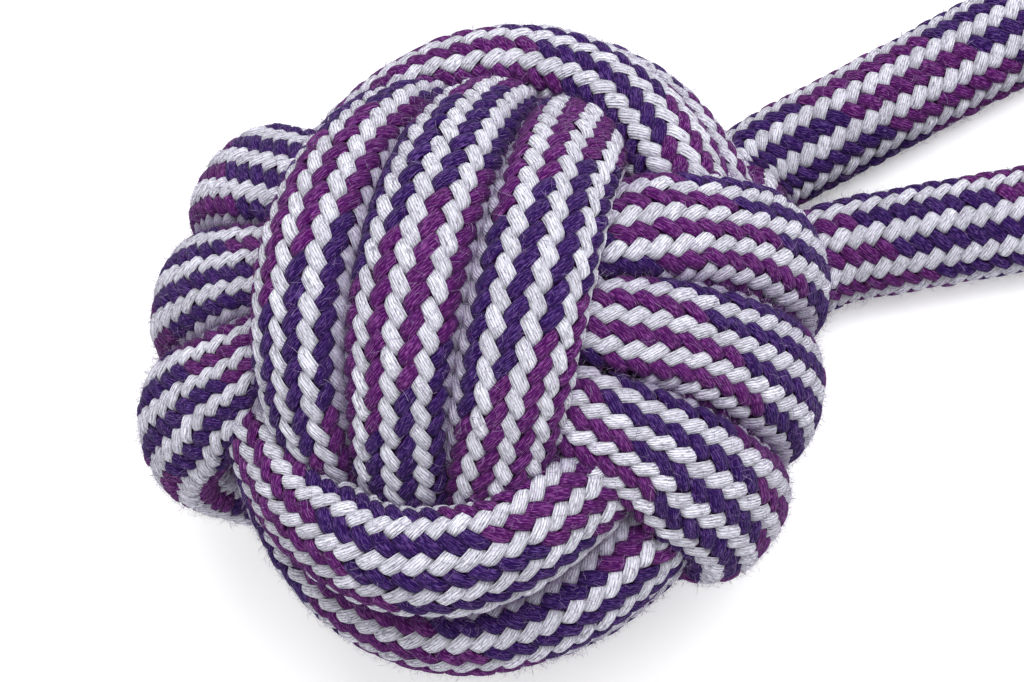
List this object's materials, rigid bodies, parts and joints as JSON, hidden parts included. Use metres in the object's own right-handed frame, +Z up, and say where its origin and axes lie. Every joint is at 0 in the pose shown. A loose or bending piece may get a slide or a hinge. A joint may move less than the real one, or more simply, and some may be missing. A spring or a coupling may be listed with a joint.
{
  "type": "rope dog toy",
  "caption": "Dog's tug and throw toy: a ball tied in thick braided rope round a core, with a loop handle of the same rope that folds up from the floor.",
  "frame": {"origin": "on the floor, under the middle of the ball", "axes": "+X from the ball along the handle, +Z up from the floor"},
  "size_m": [0.2488, 0.0874, 0.0701],
  "materials": {
    "rope": "braided cotton, matte and fuzzy",
    "core": "matte"
  },
  "bodies": {
    "fist": {"core_ball": "core", "winding_first": "rope", "winding_second": "rope", "winding_third": "rope", "buried_end": "rope"},
    "legs": {"leg_near": "rope", "leg_far": "rope"},
    "bight": {"bight": "rope"}
  },
  "joints": [
    {"name": "legs_swing", "type": "hinge", "parent": "fist", "child": "legs", "pos_m": [0.049, 0.016, 0.0058], "axis": [0, -1, 0], "range_deg": [0, 90]},
    {"name": "bight_fold", "type": "hinge", "parent": "legs", "child": "bight", "pos_m": [0.13974, 0.016, 0.0058], "axis": [0, -1, 0], "range_deg": [0, 90]}
  ]
}
